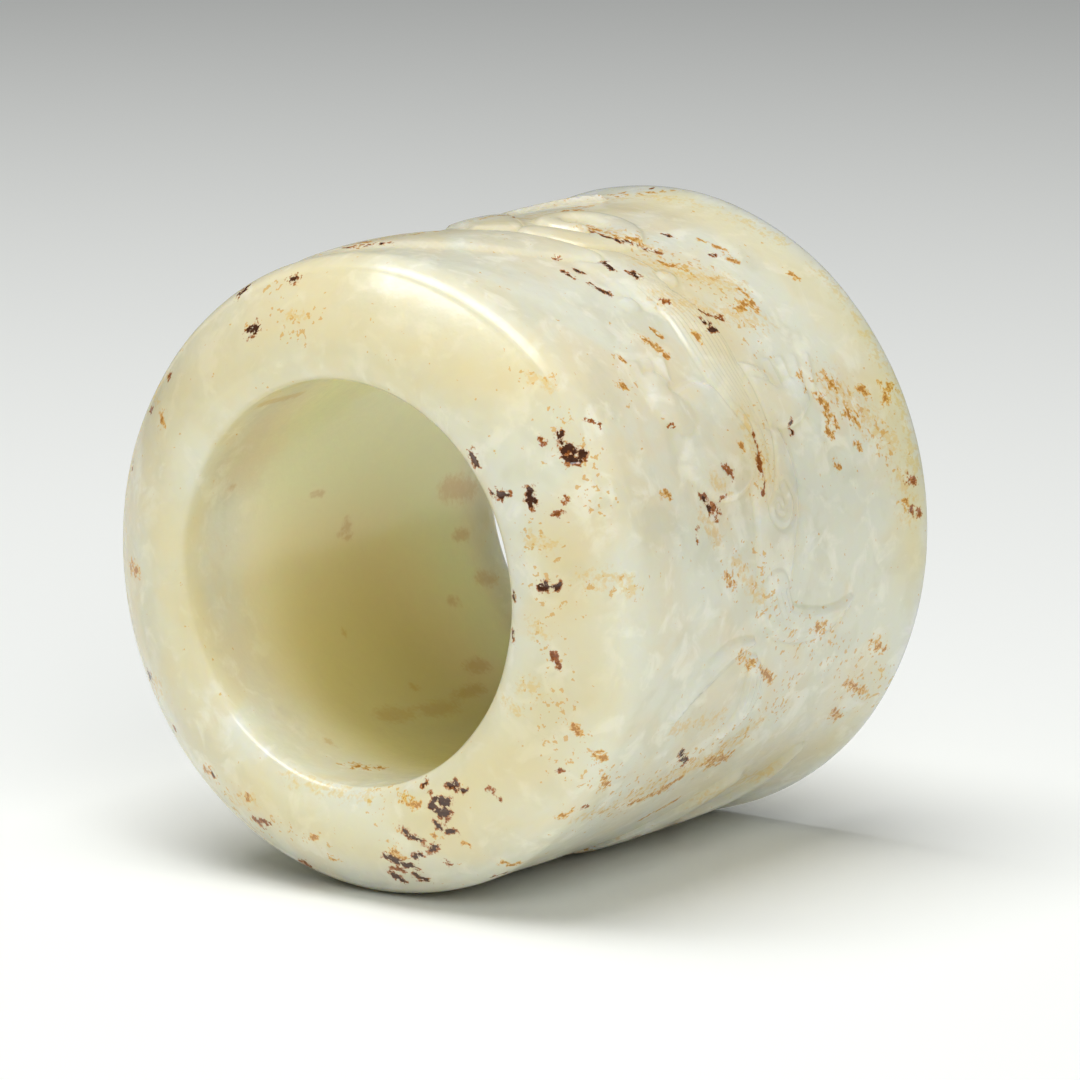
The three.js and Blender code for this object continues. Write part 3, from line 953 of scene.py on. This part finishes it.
def polished_jade(jade):
    """Polished nephrite jade, with the stains of its skin, and painted light and painted shade in its bore.

    Nephrite is a felt of fine fibres that light goes a few millimetres into, so it looks soft and waxy under
    a glossy skin. Iron has soaked into its outside as tan clouds, orange flecks and red-brown spots, and the
    pits hold black earth. Each colour is laid over those before it by a smooth step of
    (what it follows) + (how much) * (the noise that breaks it up).
    """
    material, tree, surface = new_material("polished_nephrite_jade")
    place = add_node(tree, "ShaderNodeTexCoord").outputs["Object"]
    values = {name: add_node(tree, "ShaderNodeAttribute", attribute_name=name).outputs["Fac"]
              for name in STAIN_FIELDS}
    for name, (size_mm, detail, roughness, distortion) in JADE_NOISES.items():
        values[name] = add_node(tree, "ShaderNodeTexNoise",
                                {"Vector": place, "Scale": 1 / (size_mm * MM), "Detail": detail,
                                 "Roughness": roughness, "Distortion": distortion}).outputs["Fac"]
    for name, share in GRIT_SHARES.items():
        values[name] = add_node(tree, "ShaderNodeMapRange",
                                {"Value": values[name], "From Min": GRIT_RANGE[0],
                                 "From Max": GRIT_RANGE[1], "To Min": -share / 2, "To Max": share / 2},
                                interpolation_type="SMOOTHSTEP").outputs["Result"]
    values["grit"] = add_node(tree, "ShaderNodeMath", {0: values["coarse_grit"], 1: values["fine_grit"]},
                              operation="ADD").outputs["Value"]
    base = (*jade.ground, 1)
    for name, follows, broken_by, how_much, start, full, cover in JADE_LAYERS:
        value = values[follows]
        if how_much:
            value = add_node(tree, "ShaderNodeMath", {0: values[broken_by], 1: how_much, 2: value},
                             operation="MULTIPLY_ADD").outputs["Value"]
        share = add_node(tree, "ShaderNodeMapRange",
                         {"Value": value, "From Min": start, "From Max": full,
                          "To Min": 0.0, "To Max": cover},
                         interpolation_type="SMOOTHSTEP").outputs["Result"]
        base = add_node(tree, "ShaderNodeMix", {"Factor": share, "A": base, "B": (*getattr(jade, name), 1)},
                        data_type="RGBA").outputs["Result"]
    tree.links.new(base, surface.inputs["Base Color"])
    pit = add_node(tree, "ShaderNodeMapRange",
                   {"Value": values["russet"], "From Min": PIT_RANGE[0], "From Max": PIT_RANGE[1],
                    "To Min": 0.0, "To Max": -PIT_DEPTH},
                   interpolation_type="SMOOTHSTEP").outputs["Result"]
    height = add_node(tree, "ShaderNodeMath", {0: values["wear"], 1: WEAR_HEIGHT, 2: pit},
                      operation="MULTIPLY_ADD").outputs["Value"]
    worn = add_node(tree, "ShaderNodeBump", {"Height": height, "Strength": 1.0, "Distance": 1.0})
    tree.links.new(worn.outputs["Normal"], surface.inputs["Normal"])
    surface.inputs["Roughness"].default_value = JADE_ROUGHNESS
    surface.inputs["IOR"].default_value = JADE_IOR
    surface.inputs["Subsurface Weight"].default_value = 1.0
    surface.inputs["Subsurface Radius"].default_value = JADE_LIGHT_REACH
    surface.inputs["Subsurface Scale"].default_value = 1.0
    return material


def table_paint(view):
    """Painted board: matt and plain white, so that it shows soft shadows and no reflections."""
    material, tree, surface = new_material("matt_white_table")
    surface.inputs["Base Color"].default_value = (*view.table_colour, 1)
    surface.inputs["Roughness"].default_value = TABLE_ROUGHNESS
    return material


def studio_world(view):
    """The dim, even light of the studio's walls."""
    world = bpy.data.worlds.new("studio")
    world.use_nodes = True
    background = world.node_tree.nodes["Background"]
    background.inputs["Color"].default_value = (*view.wall_colour, 1)
    background.inputs["Strength"].default_value = view.wall_light
    return world


def camera_frame(view):
    """Where the camera stands, and its right, up and backward directions."""
    azimuth = view.camera_azimuth
    elevation = view.camera_elevation
    back = Vector((math.sin(azimuth) * math.cos(elevation), -math.cos(azimuth) * math.cos(elevation),
                   math.sin(elevation)))
    right = Vector((math.cos(azimuth), math.sin(azimuth), 0))
    up = back.cross(right)
    middle = Vector((0, view.middle_ahead, view.middle_height))
    stand = middle + back * view.camera_distance
    aim = middle + right * view.aim_right + up * view.aim_up
    backward = (stand - aim).normalized()
    right = Vector((0, 0, 1)).cross(backward).normalized()
    return stand, right, backward.cross(right), backward


class THUMBRING_OT_stage(bpy.types.Operator):
    """Lay the table, hang the lights and set the camera of the photograph"""
    bl_idname = "thumb_ring.stage"
    bl_label = "Lay the stage"

    def execute(self, context):
        view = context.scene.thumb_ring_view
        stand, right, up, backward = camera_frame(view)
        data = bpy.data.cameras.new("photo_camera")
        data.lens = view.lens_mm
        data.sensor_width = SENSOR_MM
        data.clip_start = CLIP_START
        camera = bpy.data.objects.new("photo_camera", data)
        camera.matrix_world = Matrix.Translation(stand) @ Matrix((right, up, backward)).transposed().to_4x4()
        context.scene.collection.objects.link(camera)
        context.scene.camera = camera

        corners = [(x * TABLE_HALF, y * TABLE_HALF, 0) for x, y in ((-1, -1), (1, -1), (1, 1), (-1, 1))]
        mesh = bpy.data.meshes.new("table")
        mesh.from_pydata(corners, [], [(0, 1, 2, 3)])
        table = bpy.data.objects.new("table", mesh)
        mesh.materials.append(table_paint(view))
        context.scene.collection.objects.link(table)

        context.scene.world = studio_world(view)
        context.scene.view_settings.view_transform = "Standard"
        self.softbox(context, "overhead_softbox", view.overhead_stand, (0, 0, 0), view.overhead_wide,
                     view.overhead_deep, view.overhead_power)
        fill = self.softbox(context, "fill_softbox", view.fill_stand, (0, 0, view.fill_aim), view.fill_wide,
                            view.fill_wide, view.fill_power)
        fill.visible_glossy = False
        return {"FINISHED"}

    @staticmethod
    def softbox(context, name, stand, aim, wide, deep, power):
        """A soft light over or beside the ring, wide across and deep from front to back."""
        light = bpy.data.lights.new(name, "AREA")
        light.shape = "RECTANGLE"
        light.size = wide
        light.size_y = deep
        light.energy = power
        lamp = bpy.data.objects.new(name, light)
        backward = (Vector(stand) - Vector(aim)).normalized()
        across = Vector((0, 1, 0)).cross(backward).normalized()
        turn = Matrix((across, backward.cross(across), backward)).transposed().to_4x4()
        lamp.matrix_world = Matrix.Translation(stand) @ turn
        context.scene.collection.objects.link(lamp)
        return lamp


class THUMBRING_OT_ring(bpy.types.Operator):
    """Carve and polish the jade ring"""
    bl_idname = "thumb_ring.ring"
    bl_label = "Carve the ring"

    def execute(self, context):
        scene = context.scene
        points = ring_surface(scene.thumb_ring_sizes, scene.thumb_ring_relief)
        mesh = closed_grid_mesh("carved_ring", points)
        stain_attributes(mesh, points, scene.thumb_ring_view)
        mesh.materials.append(polished_jade(scene.thumb_ring_jade))
        ring = bpy.data.objects.new("carved_ring", mesh)
        scene.collection.objects.link(ring)
        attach(ring, "root")
        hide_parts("ring")
        return {"FINISHED"}


class THUMBRING_PT_panel(bpy.types.Panel):
    """Sizes of the ring and the steps that make it"""
    bl_idname = "THUMBRING_PT_panel"
    bl_label = "Jade thumb ring"
    bl_space_type = "VIEW_3D"
    bl_region_type = "UI"
    bl_category = "Thumb ring"

    def draw(self, context):
        scene = context.scene
        for group in (scene.thumb_ring_sizes, scene.thumb_ring_relief, scene.thumb_ring_jade,
                      scene.thumb_ring_view):
            box = self.layout.box()
            for name in group.__annotations__:
                box.prop(group, name)
        for operator in (THUMBRING_OT_stage, THUMBRING_OT_ring):
            self.layout.operator(operator.bl_idname)


CLASSES = (RingSizes, ReliefSizes, JadeColours, StageView, THUMBRING_OT_stage, THUMBRING_OT_ring,
           THUMBRING_PT_panel)


def register():
    for cls in CLASSES:
        bpy.utils.register_class(cls)
    bpy.types.Scene.thumb_ring_sizes = PointerProperty(type=RingSizes)
    bpy.types.Scene.thumb_ring_relief = PointerProperty(type=ReliefSizes)
    bpy.types.Scene.thumb_ring_jade = PointerProperty(type=JadeColours)
    bpy.types.Scene.thumb_ring_view = PointerProperty(type=StageView)


def unregister():
    del bpy.types.Scene.thumb_ring_view
    del bpy.types.Scene.thumb_ring_jade
    del bpy.types.Scene.thumb_ring_relief
    del bpy.types.Scene.thumb_ring_sizes
    for cls in reversed(CLASSES):
        bpy.utils.unregister_class(cls)


def main():
    """Builds the ring and its stage."""
    register()
    bpy.ops.thumb_ring.stage()
    bpy.ops.thumb_ring.ring()


if __name__ == "__main__":
    main()
